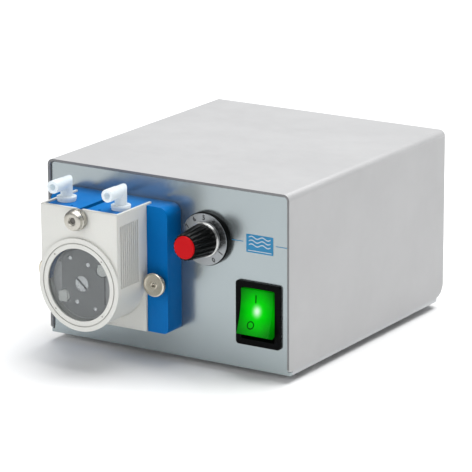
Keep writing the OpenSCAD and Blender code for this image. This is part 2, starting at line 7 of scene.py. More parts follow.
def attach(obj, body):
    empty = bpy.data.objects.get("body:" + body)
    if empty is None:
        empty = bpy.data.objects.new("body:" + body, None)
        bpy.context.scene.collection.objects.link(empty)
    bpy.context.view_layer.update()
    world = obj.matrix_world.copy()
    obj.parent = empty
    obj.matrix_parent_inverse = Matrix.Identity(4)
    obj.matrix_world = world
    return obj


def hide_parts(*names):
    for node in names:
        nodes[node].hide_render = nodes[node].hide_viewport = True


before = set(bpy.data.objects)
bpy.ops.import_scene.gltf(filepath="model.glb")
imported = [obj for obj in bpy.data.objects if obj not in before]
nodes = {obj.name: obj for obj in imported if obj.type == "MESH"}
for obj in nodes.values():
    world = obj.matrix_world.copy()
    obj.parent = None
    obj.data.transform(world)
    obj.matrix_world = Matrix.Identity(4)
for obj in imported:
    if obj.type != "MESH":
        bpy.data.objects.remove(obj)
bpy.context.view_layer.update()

MM = 0.001
HEAD = (-26.2, 44.5)     # rotor axis, x and z in mm
KNOB = (23.6, 66.4)      # knob axis
CASE_Y = -56.0           # front edge of the cover
PANEL_Y = -54.8          # front face of the panel


# ------------------------------------------------------------------ materials
class Net:
    """A small builder for one material's nodes."""

    def __init__(self, name):
        self.m = bpy.data.materials.new(name)
        self.m.use_nodes = True
        self.t = self.m.node_tree
        self.t.nodes.clear()
        self.out = self.t.nodes.new("ShaderNodeOutputMaterial")
        self.coord = self.t.nodes.new("ShaderNodeTexCoord").outputs["Object"]

    def put(self, socket, value):
        if isinstance(value, bpy.types.NodeSocket):
            self.t.links.new(value, socket)
        elif value is not None:
            if hasattr(socket, "default_value") and not isinstance(value, (int, float)):
                value = list(value)
                if len(socket.default_value) == 4 and len(value) == 3:
                    value.append(1.0)
            socket.default_value = value

    def node(self, kind, ins=None, **props):
        n = self.t.nodes.new(kind)
        for k, v in props.items():
            setattr(n, k, v)
        for k, v in (ins or {}).items():
            self.put(n.inputs[k], v)
        return n

    def math(self, op, a, b=None, c=None, clamp=False):
        n = self.node("ShaderNodeMath", operation=op, use_clamp=clamp)
        for i, v in enumerate((a, b, c)):
            if v is not None:
                self.put(n.inputs[i], v)
        return n.outputs[0]

    def vmath(self, op, a, b=None):
        n = self.node("ShaderNodeVectorMath", operation=op)
        self.put(n.inputs[0], a)
        if b is not None:
            self.put(n.inputs[1], b)
        return n.outputs["Value"] if op in ("LENGTH", "DOT_PRODUCT", "DISTANCE") else n.outputs["Vector"]

    def noise(self, scale, detail=3.0, rough=0.55, vec=None, distortion=0.0):
        n = self.node("ShaderNodeTexNoise", {"Vector": vec if vec is not None else self.coord, "Scale": scale,
                                             "Detail": detail, "Roughness": rough, "Distortion": distortion})
        return n.outputs["Fac"]

    def remap(self, v, a, b, c, d, smooth=False):
        n = self.node("ShaderNodeMapRange", {"Value": v, "From Min": a, "From Max": b, "To Min": c, "To Max": d},
                      interpolation_type="SMOOTHSTEP" if smooth else "LINEAR")
        n.clamp = True
        return n.outputs["Result"]

    def mix(self, fac, a, b, blend="MIX"):
        n = self.node("ShaderNodeMix", data_type="RGBA", blend_type=blend)
        n.clamp_factor = True
        self.put(n.inputs[0], fac)
        self.put(n.inputs[6], a)
        self.put(n.inputs[7], b)
        return n.outputs[2]

    def radius(self, cx, cz):
        """Distance from an axle along Y, in millimetres."""
        s = self.node("ShaderNodeSeparateXYZ", {"Vector": self.coord})
        x = self.math("SUBTRACT", s.outputs[0], cx * MM)
        z = self.math("SUBTRACT", s.outputs[2], cz * MM)
        r = self.math("SQRT", self.math("ADD", self.math("MULTIPLY", x, x), self.math("MULTIPLY", z, z)))
        return self.math("MULTIPLY", r, 1000.0)

    def bump(self, height, dist_mm, strength=1.0, normal=None):
        n = self.node("ShaderNodeBump", {"Height": height, "Distance": dist_mm * MM, "Strength": strength})
        if normal is not None:
            self.t.links.new(normal, n.inputs["Normal"])
        return n.outputs["Normal"]


def shade(c, k):
    return tuple(max(0.0, min(1.0, x * k)) for x in c)


def surface(name, base, rough, metal=0.0, vary=0.06, vary_scale=28.0, speck=0.03, speck_scale=900.0,
            tint=None, rough_vary=0.06, bumps=((700.0, 0.012),), turned=None, brushed=None, edge=0.25,
            edge_colour=None, round_mm=0.15, crevice_shade=0.18, crevice_shade_mm=2.5, coat=0.0, coat_rough=0.1, ior=1.5,
            specular=0.5, extra=None, aniso=None, subsurface=0.0, sheen=0.0):
    """One finished opaque material: cloudy and fine colour variation, worn edges, painted shade that darkens creases
    and crevices, uneven gloss and a bump of the surface's own grain."""
    g = Net(name)
    low = g.noise(vary_scale, 4.0, 0.6)
    fine = g.noise(speck_scale, 2.0, 0.5)
    other = tint or shade(base, 1.0 - 1.6 * vary)
    colour = g.mix(g.remap(low, 0.3, 0.7, 0.0, 1.0, True), shade(base, 1.0 + vary), other)
    colour = g.mix(g.remap(fine, 0.35, 0.7, 0.0, 1.0), colour, g.mix(speck * 3.0, colour, shade(base, 0.55)))
    geo = g.node("ShaderNodeNewGeometry")
    if extra is not None:
        colour = extra(g, colour, geo)
    rounded = g.node("ShaderNodeBevel", {"Radius": round_mm * MM}, samples=4).outputs["Normal"]
    if edge > 0.0:
        wide = g.node("ShaderNodeBevel", {"Radius": max(0.35, min(round_mm * 2.0, 0.6)) * MM}, samples=4).outputs["Normal"]
        worn = g.math("SUBTRACT", 1.0, g.vmath("DOT_PRODUCT", wide, geo.outputs["Normal"]))
        worn = g.remap(worn, 0.02, 0.25, 0.0, 1.0)
        patchy = g.remap(g.noise(260.0, 5.0, 0.7), 0.38, 0.66, 0.15, 1.0)
        worn = g.math("MULTIPLY", worn, patchy)
        colour = g.mix(g.math("MULTIPLY", worn, edge), colour, edge_colour or shade(base, 1.35))
    else:
        worn = None
    # Painted shade: an AO mask darkens creases and crevices towards a darker copy of the base colour.
    if crevice_shade > 0.0:
        ao = g.node("ShaderNodeAmbientOcclusion", {"Distance": crevice_shade_mm * MM}, samples=4).outputs["AO"]
        crevice_shade_mask = g.remap(ao, 0.25, 0.85, 1.0, 0.0)
        colour = g.mix(g.math("MULTIPLY", crevice_shade_mask, crevice_shade), colour, shade(base, 0.45))
    r = g.remap(g.noise(vary_scale * 3.1, 5.0, 0.65), 0.3, 0.7, max(0.02, rough - rough_vary), min(1.0, rough + rough_vary))
    if worn is not None:
        r = g.math("ADD", r, g.math("MULTIPLY", worn, 0.06), clamp=True)
    normal = rounded
    for scale, depth in bumps:
        normal = g.bump(g.noise(scale, 3.0, 0.6), depth, 1.0, normal)
    if turned is not None:
        rad = g.radius(turned[0], turned[1])
        line = g.node("ShaderNodeTexNoise", {"W": g.math("MULTIPLY", rad, turned[2]), "Detail": 4.0, "Roughness": 0.7,
                                             "Scale": 1.0}, noise_dimensions="1D").outputs["Fac"]
        normal = g.bump(line, turned[3], 1.0, normal)
        r = g.math("ADD", r, g.remap(line, 0.3, 0.7, -0.04, 0.04), clamp=True)
    if brushed is not None:
        sx, sy, sz, depth = brushed
        stretched = g.node("ShaderNodeMapping", {"Vector": g.coord, "Scale": (sx, sy, sz)}).outputs[0]
        line = g.noise(1.0, 4.0, 0.65, stretched)
        normal = g.bump(line, depth, 1.0, normal)
        colour = g.mix(g.remap(line, 0.35, 0.65, 0.0, 0.10), colour, shade(base, 0.8))
    b = g.node("ShaderNodeBsdfPrincipled", {"Base Color": colour, "Roughness": r, "Metallic": metal, "IOR": ior,
                                            "Normal": normal, "Coat Weight": coat, "Coat Roughness": coat_rough,
                                            "Specular IOR Level": specular, "Subsurface Weight": subsurface,
                                            "Sheen Weight": sheen})
    b.inputs["Subsurface Radius"].default_value = (0.0012, 0.001, 0.0008)
    b.inputs["Subsurface Scale"].default_value = 1.0
    if aniso is not None:
        away = g.vmath("SUBTRACT", geo.outputs["Position"], (aniso[0] * MM, 0.0, aniso[1] * MM))
        round_ = g.vmath("NORMALIZE", g.vmath("CROSS_PRODUCT", away, (0.0, 1.0, 0.0)))
        g.t.links.new(round_, b.inputs["Tangent"])
        b.inputs["Anisotropic"].default_value = aniso[2]
    g.t.links.new(b.outputs[0], g.out.inputs["Surface"])
    return g.m


def sheet_edges(g, colour, geo):
    """Painted shade: the front and back edge faces of the folded sheet are drawn darker than its coat."""
    s = g.node("ShaderNodeSeparateXYZ", {"Vector": geo.outputs["True Normal"]})
    edge_shade_mask = g.remap(g.math("ABSOLUTE", s.outputs[1]), 0.85, 0.97, 0.0, 1.0)
    grain = g.noise(1600.0, 3.0, 0.6)
    return g.mix(edge_shade_mask, colour, g.mix(grain, (0.15, 0.15, 0.155), (0.21, 0.21, 0.215)))


def clear_pane(name, tint, gloss_rough, film):
    """A clear pane: light goes through, with a glossy surface and a faint film of scratches and dust."""
    g = Net(name)
    scratch = g.node("ShaderNodeMapping", {"Vector": g.coord, "Scale": (90.0, 90.0, 2600.0), "Rotation": (0.0, 0.5, 0.0)}).outputs[0]
    line = g.noise(1.0, 5.0, 0.7, scratch)
    rough = g.remap(g.noise(120.0, 4.0, 0.6), 0.3, 0.7, gloss_rough, gloss_rough + 0.06)
    normal = g.bump(line, 0.0015)
    see = g.node("ShaderNodeBsdfTransparent", {"Color": g.mix(g.noise(60.0, 2.0), tint, shade(tint, 0.97))})
    skin = g.node("ShaderNodeBsdfPrincipled", {"Base Color": (0.75, 0.77, 0.78), "Roughness": rough, "Normal": normal, "IOR": 1.49,
                                               "Metallic": 0.0})
    fres = g.node("ShaderNodeFresnel", {"IOR": 1.49}).outputs[0]
    dust = g.remap(g.noise(420.0, 5.0, 0.7), 0.45, 0.75, film * 0.5, film)
    fac = g.math("ADD", fres, dust, clamp=True)
    mixed = g.node("ShaderNodeMixShader", {0: fac, 1: see.outputs[0], 2: skin.outputs[0]})
    g.t.links.new(mixed.outputs[0], g.out.inputs["Surface"])
    return g.m


def milky(name, base, rough, trans, bump_mm=0.01, ior=1.49, through=0.35, glow=0.0):
    """Translucent moulded plastic or rubber: part of the light passes through it. A glow above 0 adds a painted glow
    as emission.
    """
    g = Net(name)
    low = g.noise(160.0, 4.0, 0.6)
    colour = g.mix(g.remap(low, 0.3, 0.7, 0.0, 1.0, True), base, shade(base, 0.97))
    normal = g.node("ShaderNodeBevel", {"Radius": 0.2 * MM}, samples=4).outputs["Normal"]
    normal = g.bump(g.noise(900.0, 2.0), bump_mm, 1.0, normal)
    r = g.remap(g.noise(300.0, 3.0), 0.3, 0.7, rough - 0.05, rough + 0.07)
    b = g.node("ShaderNodeBsdfPrincipled", {"Base Color": colour, "Roughness": r, "IOR": ior, "Normal": normal,
                                            "Transmission Weight": trans, "Emission Color": colour,
                                            "Emission Strength": glow})
    see = g.node("ShaderNodeBsdfTranslucent", {"Color": colour, "Normal": normal})
    mixed = g.node("ShaderNodeMixShader", {0: through, 1: b.outputs[0], 2: see.outputs[0]})
    g.t.links.new(mixed.outputs[0], g.out.inputs["Surface"])
    return g.m


def lit_green(name):
    """The rocker's translucent green cap with the lamp glowing behind its middle."""
    g = Net(name)
    s = g.node("ShaderNodeSeparateXYZ", {"Vector": g.coord})
    dx = g.math("DIVIDE", g.math("SUBTRACT", s.outputs[0], 0.0531), 0.0046)
    dz = g.math("DIVIDE", g.math("SUBTRACT", s.outputs[2], 0.0346), 0.0054)
    d = g.math("SQRT", g.math("ADD", g.math("MULTIPLY", dx, dx), g.math("MULTIPLY", dz, dz)))
    core = g.math("POWER", g.remap(d, 0.0, 1.0, 1.0, 0.0, True), 2.6)
    halo = g.remap(d, 0.2, 2.9, 1.0, 0.0, True)
    cloudy = g.remap(g.noise(260.0, 3.0, 0.6), 0.3, 0.7, 0.9, 1.06)
    glow = g.mix(halo, (0.0, 0.085, 0.0), (0.0, 0.66, 0.0))
    glow = g.mix(core, glow, (0.75, 1.0, 0.78))
    glow = g.mix(1.0, glow, g.node("ShaderNodeCombineColor", {0: cloudy, 1: cloudy, 2: cloudy}).outputs[0], "MULTIPLY")
    normal = g.bump(g.noise(1100.0, 2.0), 0.008, 1.0, g.node("ShaderNodeBevel", {"Radius": 0.4 * MM}, samples=4).outputs["Normal"])
    base = g.mix(g.noise(90.0, 3.0), (0.0, 0.075, 0.002), (0.0, 0.095, 0.003))
    b = g.node("ShaderNodeBsdfPrincipled", {"Base Color": base, "Roughness": g.remap(g.noise(200.0), 0.3, 0.7, 0.2, 0.3),
                                            "Normal": normal, "Emission Color": glow, "IOR": 1.49, "Specular IOR Level": 0.04})
    b.inputs["Emission Strength"].default_value = 1.0
    g.t.links.new(b.outputs[0], g.out.inputs["Surface"])
    return g.m


M = {}
# The cover's front and back sheet edge faces get a painted shade.
M["cover_paint"] = surface("cover_paint", (0.455, 0.455, 0.458), 0.46, vary=0.02, speck=0.015, speck_scale=2200.0,
                           bumps=((1500.0, 0.010), (320.0, 0.006)), edge=0.1, round_mm=0.12, crevice_shade=0.1, rough_vary=0.05,
                           extra=sheet_edges)
M["tray_steel"] = surface("tray_steel", (0.48, 0.49, 0.50), 0.36, metal=0.55, vary=0.04, edge=0.4, edge_colour=(0.8, 0.8, 0.8),
                          bumps=((900.0, 0.006),), brushed=(40.0, 900.0, 900.0, 0.01), crevice_shade=0.25)
M["panel_aluminium"] = surface("panel_aluminium", (0.345, 0.388, 0.40), 0.22, metal=0.85, vary=0.008, vary_scale=14.0, speck=0.008,
                               speck_scale=2600.0, bumps=((2600.0, 0.0006),), edge=0.05, crevice_shade=0.06, rough_vary=0.01,
                               round_mm=0.1)
M["rear_aluminium"] = surface("rear_aluminium", (0.36, 0.385, 0.395), 0.38, metal=0.80, vary=0.04, speck=0.05, speck_scale=1800.0,
                              bumps=((1500.0, 0.005),), edge=0.3, crevice_shade=0.2)
M["blue_plastic"] = surface("blue_plastic", (0.0, 0.142, 0.435), 0.33, specular=0.08, vary=0.05, tint=(0.0, 0.128, 0.41), speck=0.02,
                            bumps=((1300.0, 0.006), (240.0, 0.008)), edge=0.35, edge_colour=(0.0, 0.2, 0.55), crevice_shade=0.2,
                            round_mm=0.25, rough_vary=0.06)
M["shell_white"] = surface("shell_white", (0.69, 0.69, 0.655), 0.40, vary=0.02, speck=0.02, speck_scale=1500.0,
                           bumps=((1400.0, 0.008), (180.0, 0.006)), edge=0.35, edge_colour=(0.85, 0.85, 0.82), crevice_shade=0.16,
                           crevice_shade_mm=1.6, round_mm=1.5, rough_vary=0.05, subsurface=0.08)
M["ring_white"] = surface("ring_white", (0.68, 0.68, 0.645), 0.30, vary=0.03, speck=0.02, speck_scale=1500.0,
                          bumps=((1400.0, 0.006),), turned=(HEAD[0], HEAD[1], 3.0, 0.004), edge=0.5,
                          edge_colour=(0.88, 0.88, 0.85), crevice_shade=0.45, crevice_shade_mm=1.2, round_mm=0.15)
M["rotor_light_grey"] = surface("rotor_light_grey", (0.36, 0.36, 0.36), 0.42, vary=0.06, bumps=((900.0, 0.01),),
                                turned=(HEAD[0], HEAD[1], 2.0, 0.006), edge=0.3, crevice_shade=0.25)
M["rotor_grey"] = surface("rotor_grey", (0.135, 0.14, 0.142), 0.40, vary=0.05, speck=0.05, bumps=((900.0, 0.008),),
                          turned=(HEAD[0], HEAD[1], 2.2, 0.006), edge=0.35, edge_colour=(0.3, 0.31, 0.31), crevice_shade=0.3)
M["roller_white"] = surface("roller_white", (0.80, 0.80, 0.77), 0.32, vary=0.03, bumps=((900.0, 0.006),), edge=0.2,
                            crevice_shade=0.2)
M["nickel"] = surface("nickel", (0.74, 0.705, 0.63), 0.24, metal=1.0, vary=0.04, tint=(0.70, 0.65, 0.56), speck=0.04,
                      bumps=((1200.0, 0.004),), edge=0.4, edge_colour=(0.88, 0.86, 0.82), crevice_shade=0.45, crevice_shade_mm=1.0,
                      rough_vary=0.07, round_mm=0.12)
M["steel"] = surface("steel", (0.70, 0.70, 0.71), 0.24, metal=1.0, vary=0.05, bumps=((1200.0, 0.004),), edge=0.4,
                     edge_colour=(0.86, 0.86, 0.86), crevice_shade=0.3, crevice_shade_mm=1.0)
M["brass"] = surface("brass", (0.70, 0.50, 0.22), 0.28, metal=1.0, vary=0.08, bumps=((900.0, 0.006),), crevice_shade=0.35,
                     edge_colour=(0.86, 0.7, 0.4))
M["gearbox_cast"] = surface("gearbox_cast", (0.48, 0.49, 0.50), 0.5, metal=0.85, vary=0.08, bumps=((450.0, 0.05), (1500.0, 0.01)),
                            edge=0.5, edge_colour=(0.75, 0.75, 0.76), crevice_shade=0.35)
M["gear_acetal"] = surface("gear_acetal", (0.74, 0.70, 0.56), 0.42, vary=0.04, bumps=((600.0, 0.012),), crevice_shade=0.3)
M["black_plastic"] = surface("black_plastic", (0.003, 0.003, 0.0031), 0.26, specular=0.03, vary=0.12, speck=0.0,
                             bumps=((1600.0, 0.012),), edge=0.25, edge_colour=(0.07, 0.07, 0.075), crevice_shade=0.1,
                             rough_vary=0.07, round_mm=0.2)
M["knob_black"] = surface("knob_black", (0.003, 0.0032, 0.0032), 0.20, specular=0.09, vary=0.15, speck=0.0, bumps=((1500.0, 0.006),),
                          edge=0.3, edge_colour=(0.07, 0.075, 0.075), crevice_shade=0.15, rough_vary=0.06, round_mm=0.15)
M["dial_metal"] = surface("dial_metal", (0.27, 0.285, 0.295), 0.24, metal=1.0, vary=0.03, speck=0.02, bumps=((1500.0, 0.003),),
                          turned=(KNOB[0], KNOB[1], 9.0, 0.004), edge=0.5, edge_colour=(0.85, 0.86, 0.87), crevice_shade=0.3,
                          crevice_shade_mm=1.2, round_mm=0.12, aniso=(KNOB[0], KNOB[1], 0.85))
M["chrome_ring"] = surface("chrome_ring", (0.66, 0.66, 0.65), 0.10, metal=1.0, vary=0.02, speck=0.01, bumps=((700.0, 0.002),),
                           turned=(KNOB[0], KNOB[1], 6.0, 0.002), edge=0.3, edge_colour=(0.9, 0.9, 0.9), crevice_shade=0.4,
                           crevice_shade_mm=0.8, rough_vary=0.04, round_mm=0.12)
M["cap_red"] = surface("cap_red", (0.55, 0.005, 0.009), 0.30, specular=0.08, vary=0.05, tint=(0.50, 0.004, 0.007), speck=0.02,
                       bumps=((1300.0, 0.006),), edge=0.3, edge_colour=(0.6, 0.03, 0.03), crevice_shade=0.1, round_mm=0.35,
                       rough_vary=0.05)
M["foot_rubber"] = surface("foot_rubber", (0.44, 0.45, 0.44), 0.7, vary=0.06, bumps=((500.0, 0.03),), edge=0.1, crevice_shade=0.3)
M["contact_metal"] = surface("contact_metal", (0.72, 0.64, 0.45), 0.3, metal=1.0, vary=0.06, bumps=((900.0, 0.006),))
M["board_green"] = surface("board_green", (0.012, 0.12, 0.045), 0.35, vary=0.1, tint=(0.01, 0.09, 0.03), bumps=((1500.0, 0.01),),
                           edge_colour=(0.3, 0.32, 0.2))
M["zinc_case"] = surface("zinc_case", (0.60, 0.61, 0.62), 0.38, metal=0.9, vary=0.1, vary_scale=60.0, bumps=((500.0, 0.01),),
                         crevice_shade=0.3)
M["motor_steel"] = surface("motor_steel", (0.55, 0.55, 0.56), 0.32, metal=1.0, vary=0.07, bumps=((900.0, 0.008),), crevice_shade=0.3)
M["print_blue"] = surface("print_blue", (0.004, 0.20, 0.41), 0.42, vary=0.04, speck=0.04, speck_scale=3000.0,
                          bumps=((1800.0, 0.004),), edge=0.0, crevice_shade=0.0)
M["print_white"] = surface("print_white", (0.55, 0.60, 0.63), 0.42, vary=0.02, speck=0.02, bumps=((1800.0, 0.004),),
                           edge=0.0, crevice_shade=0.0)
M["print_dark"] = surface("print_dark", (0.018, 0.02, 0.022), 0.45, vary=0.1, speck=0.0, bumps=((1800.0, 0.004),),
                          edge=0.0, crevice_shade=0.0)
M["print_green"] = surface("print_green", (0.0, 0.02, 0.002), 0.5, specular=0.03, vary=0.1, speck=0.0, bumps=((1800.0, 0.004),),
                           edge=0.0, crevice_shade=0.0)
M["clear_acrylic"] = clear_pane("clear_acrylic", (0.93, 0.94, 0.94), 0.05, 0.05)
M["fuse_glass"] = clear_pane("fuse_glass", (0.9, 0.92, 0.92), 0.05, 0.12)
# The elbows carry a faint painted glow (emission) though they are no lamp.
M["connector_natural"] = milky("connector_natural", (0.86, 0.91, 0.935), 0.24, 0.0, 0.003, through=0.35, glow=0.07)
M["tube_rubber"] = milky("tube_rubber", (0.62, 0.58, 0.47), 0.42, 0.2)
M["rocker_green"] = lit_green("rocker_green")



def screw_slot(g, colour, geo):
    """The floor of the rotor screw's slot lies in the dark."""
    s = g.node("ShaderNodeSeparateXYZ", {"Vector": g.coord})
    deep = g.remap(s.outputs[1], -0.09040, -0.09015, 0.0, 1.0)
    inside = g.remap(g.radius(HEAD[0], HEAD[1]), 3.72, 3.80, 1.0, 0.0)
    return g.mix(g.math("MULTIPLY", deep, inside), colour, (0.02, 0.02, 0.02))


M["screw_steel"] = surface("screw_steel", (0.70, 0.70, 0.71), 0.26, metal=1.0, vary=0.05, bumps=((1200.0, 0.004),), edge=0.3,
                           edge_colour=(0.86, 0.86, 0.86), crevice_shade=0.3, crevice_shade_mm=0.6, extra=screw_slot)
# The clamp bolt's dark colour is painted shade for the dark hole of the nut it sits in.
M["bolt_painted_shade"] = surface("bolt_painted_shade", (0.13, 0.125, 0.115), 0.42, metal=0.9, vary=0.06, bumps=((1200.0, 0.004),), edge=0.2,
                         crevice_shade=0.5, crevice_shade_mm=1.0)
OVERRIDE = {"window_ring": "ring_white", "rear_panel": "rear_aluminium", "rotor_screw": "screw_steel",
            "clamp_bolt": "bolt_painted_shade"}
slot_of = {}
for n, o in nodes.items():
    own = [s.material.name for s in o.material_slots if s.material]
    slot_of[n] = own[0] if own else "steel"
    key = OVERRIDE.get(n, slot_of[n])
    for s in o.material_slots:
        s.material = M[key]

# ------------------------------------------------------------------ rounded edges on the carried-over parts
BEVEL = {  # millimetres
    "cover": 0.22, "front_panel": 0.12, "rear_panel": 0.12, "base_tray": 0.3, "feet": 0.35, "head_flange": 0.9,
    "inner_block_left": 0.35, "inner_block_right": 0.35, "window_ring": 0.2, "window": 0.12,
    "rotor_body": 0.3, "rotor_cap": 0.22, "rotor_screw": 0.2, "cap_screws": 0.18, "roller_pins": 0.18, "roller_1": 0.2,
    "roller_2": 0.2, "guide_roller_1": 0.2, "guide_roller_2": 0.2, "elbow_left": 0.22, "elbow_right": 0.22,
    "clamp_bolt": 0.2, "dial_base": 0.25, "dial_plate": 0.12, "knob_collar": 0.16, "knob_cap": 0.55,
    "switch_housing": 0.3, "switch_rocker": 0.45, "power_inlet": 0.4, "fuse_drawer": 0.3, "inlet_blades": 0.25,
    "power_supply": 0.3, "motor": 0.4, "gearbox_housing": 0.4, "gearbox_cover": 0.3, "cover_screws": 0.2,
    "foot_screws": 0.2, "gearbox_screws": 0.2, "knob_body": 0.12, "pot_nut": 0.2, "shaft_bushings": 0.2,
}
for n, width in BEVEL.items():
    o = nodes[n]
    w = o.modifiers.new("weld", "WELD")
    w.merge_threshold = 1e-6
    d = o.modifiers.new("flat", "DECIMATE")
    d.decimate_type = "DISSOLVE"
    d.angle_limit = math.radians(0.4)
    b = o.modifiers.new("edges", "BEVEL")
    b.width = width * MM
    b.segments = 3
    b.limit_method = "ANGLE"
    b.angle_limit = math.radians(32)
    b.use_clamp_overlap = True
    b.harden_normals = True
    b.miter_outer = "MITER_ARC"


# ------------------------------------------------------------------ mesh helpers
def add_mesh(name, verts, faces, material, body, smooth=True, sharp=35.0):
    me = bpy.data.meshes.new(name)
    me.from_pydata([tuple(v) for v in verts], [], faces)
    me.validate()
    me.update()
    me.materials.append(M[material])
    o = bpy.data.objects.new(name, me)
    bpy.context.scene.collection.objects.link(o)
    if smooth:
        me.set_sharp_from_angle(angle=math.radians(sharp))
        for p in me.polygons:
            p.use_smooth = True
    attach(o, body)
    return o


def lathe(name, profile, cx, cz, material, body, n=96, teeth=0, depth=0.0):
    """Turns a closed profile [(y, r, knurled)] in mm about an axle along Y. r of 0 at an end closes it."""
    rings, verts, faces = [], [], []
    for y, r, k in profile:
        if r <= 1e-9:
            verts.append((cx * MM, y * MM, cz * MM))
            rings.append([len(verts) - 1])
            continue
        ring = []
        for i in range(n):
            a = 2 * math.pi * i / n
            rr = r
            if k and teeth:
                rr = r - depth * k * (0.5 - 0.5 * math.cos(a * teeth))
            verts.append(((cx + rr * math.cos(a)) * MM, y * MM, (cz + rr * math.sin(a)) * MM))
            ring.append(len(verts) - 1)
        rings.append(ring)
    pairs = list(zip(rings, rings[1:]))
    if len(rings[0]) > 1 and len(rings[-1]) > 1:
        pairs.append((rings[-1], rings[0]))
    for a, b in pairs:
        for i in range(n):
            j = (i + 1) % n
            if len(a) == 1 and len(b) > 1:
                faces.append((a[0], b[i], b[j]))
            elif len(b) == 1 and len(a) > 1:
                faces.append((a[i], b[0], a[j]))
            else:
                faces.append((a[i], b[i], b[j], a[j]))
    o = add_mesh(name, verts, faces, material, body)
    return o


def extrude_xz(points, y0, y1):
    """A flat outline in the XZ plane (mm), given from y0 (front) to y1 (back)."""
    n = len(points)
    verts = [(x * MM, y0 * MM, z * MM) for x, z in points] + [(x * MM, y1 * MM, z * MM) for x, z in points]
    faces = [tuple(range(n)), tuple(range(2 * n - 1, n - 1, -1))]
    faces += [(i, i + n, (i + 1) % n + n, (i + 1) % n) for i in range(n)]
    return verts, faces


def ring_xz(cx, cz, r0, r1, y0, y1, a0=0.0, a1=360.0, n=48):
    """A flat ring, or part of one, in the XZ plane (mm)."""
    whole = a1 - a0 >= 359.99
    m = n if whole else n + 1
    verts, faces = [], []
    for i in range(m):
        a = math.radians(a0 + (a1 - a0) * i / n)
        c, s = math.cos(a), math.sin(a)
        for r in (r0, r1):
            for y in (y0, y1):
                verts.append(((cx + r * c) * MM, y * MM, (cz + r * s) * MM))
    for i in range(n):
        j = (i + 1) % m if whole else i + 1
        a, b = 4 * i, 4 * j
        faces += [(a, a + 2, b + 2, b), (a + 1, b + 1, b + 3, a + 3), (a, b, b + 1, a + 1), (a + 2, a + 3, b + 3, b + 2)]
    if not whole:
        e = 4 * (m - 1)
        faces += [(0, 1, 3, 2), (e, e + 2, e + 3, e + 1)]
    return verts, faces


def merge(parts):
    verts, faces = [], []
    for v, f in parts:
        k = len(verts)
        verts += v
        faces += [tuple(i + k for i in q) for q in f]
    return verts, faces


def rounded(x0, x1, z0, z1, r, n=6):
    pts = []
    for cx, cz, a in ((x1 - r, z1 - r, 0), (x0 + r, z1 - r, 90), (x0 + r, z0 + r, 180), (x1 - r, z0 + r, 270)):
        for i in range(n + 1):
            t = math.radians(a + 90 * i / n)
            pts.append((cx + r * math.cos(t), cz + r * math.sin(t)))
    return pts


def numeral(text, size, bold, y0, y1, x, z, turn):
    """A number as a thin solid standing on the face at (x, z), its top turned by turn degrees from upright."""
    cu = bpy.data.curves.new("num", "FONT")
    cu.body = text
    cu.size = size * MM
    cu.align_x = "CENTER"
    cu.align_y = "CENTER"
    cu.extrude = (y1 - y0) * MM / 2
    cu.offset = bold * MM
    cu.resolution_u = 3
    o = bpy.data.objects.new("num", cu)
    bpy.context.scene.collection.objects.link(o)
    bpy.context.view_layer.update()
    me = bpy.data.meshes.new_from_object(o.evaluated_get(bpy.context.evaluated_depsgraph_get()))
    t = math.radians(turn)
    m = (Matrix.Translation((x * MM, (y0 + y1) / 2 * MM, z * MM)) @ Matrix.Rotation(-t, 4, "Y")
         @ Matrix.Rotation(math.radians(90), 4, "X"))
    me.transform(m)
    verts = [tuple(v.co) for v in me.vertices]
    faces = [tuple(p.vertices) for p in me.polygons]
    bpy.data.objects.remove(o)
    bpy.data.curves.remove(cu)
    bpy.data.meshes.remove(me)
    return verts, faces


# ------------------------------------------------------------------ turned thumbscrews and clamp nut
def thumb_screw(name, node, body, cx, cz, out):
    f = CASE_Y - 16.4 - out
    prof = [(f + 1.30, 0.0, 0), (f + 1.30, 0.55, 0), (f + 0.95, 0.98, 0), (f + 0.30, 1.02, 0), (f + 0.06, 1.30, 0),
            (f + 0.05, 1.75, 0), (f + 0.22, 1.95, 0), (f + 0.24, 4.55, 0), (f + 0.04, 4.95, 0), (f, 5.35, 0),
            (f + 0.10, 5.70, 0), (f + 0.34, 5.97, 0.3), (f + 0.55, 6.0, 1), (f + 1.45, 6.0, 1), (f + 1.68, 5.95, 0.3),
            (f + 1.86, 5.65, 0), (f + 1.92, 5.2, 0), (f + 1.95, 4.3, 0), (f + 2.15, 3.97, 0), (f + 2.4, 3.9, 0),
            (f + 4.75, 3.9, 0), (f + 4.98, 3.75, 0), (f + 5.1, 3.4, 0), (f + 5.1, 2.2, 0), (f + 5.3, 2.0, 0),
            (f + 27.9, 2.0, 0), (f + 28.4, 1.5, 0), (f + 28.4, 0.0, 0)]
    o = lathe(name, prof, cx, cz, "nickel_" + body, body, n=288, teeth=72, depth=0.16)
    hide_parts(node)
    return o


for body, cx in (("thumb_left", HEAD[0] - 29.3), ("thumb_right", HEAD[0] + 29.3)):
    M["nickel_" + body] = surface("nickel_" + body, (0.62, 0.585, 0.515), 0.20, metal=1.0, vary=0.04, tint=(0.55, 0.50, 0.41),
                                  speck=0.03, bumps=((1200.0, 0.003),), turned=(cx, 43.7, 5.0, 0.006), edge=0.4,
                                  edge_colour=(0.88, 0.86, 0.82), crevice_shade=0.5, crevice_shade_mm=1.0, rough_vary=0.06, round_mm=0.1,
                                  aniso=(cx, 43.7, 0.55))
thumb_screw("thumb_screw_left_turned", "thumb_screw_left", "thumb_left", HEAD[0] - 29.3, 43.7, 5.0)
thumb_screw("thumb_screw_right_turned", "thumb_screw_right", "thumb_right", HEAD[0] + 29.3, 43.7, 0.0)

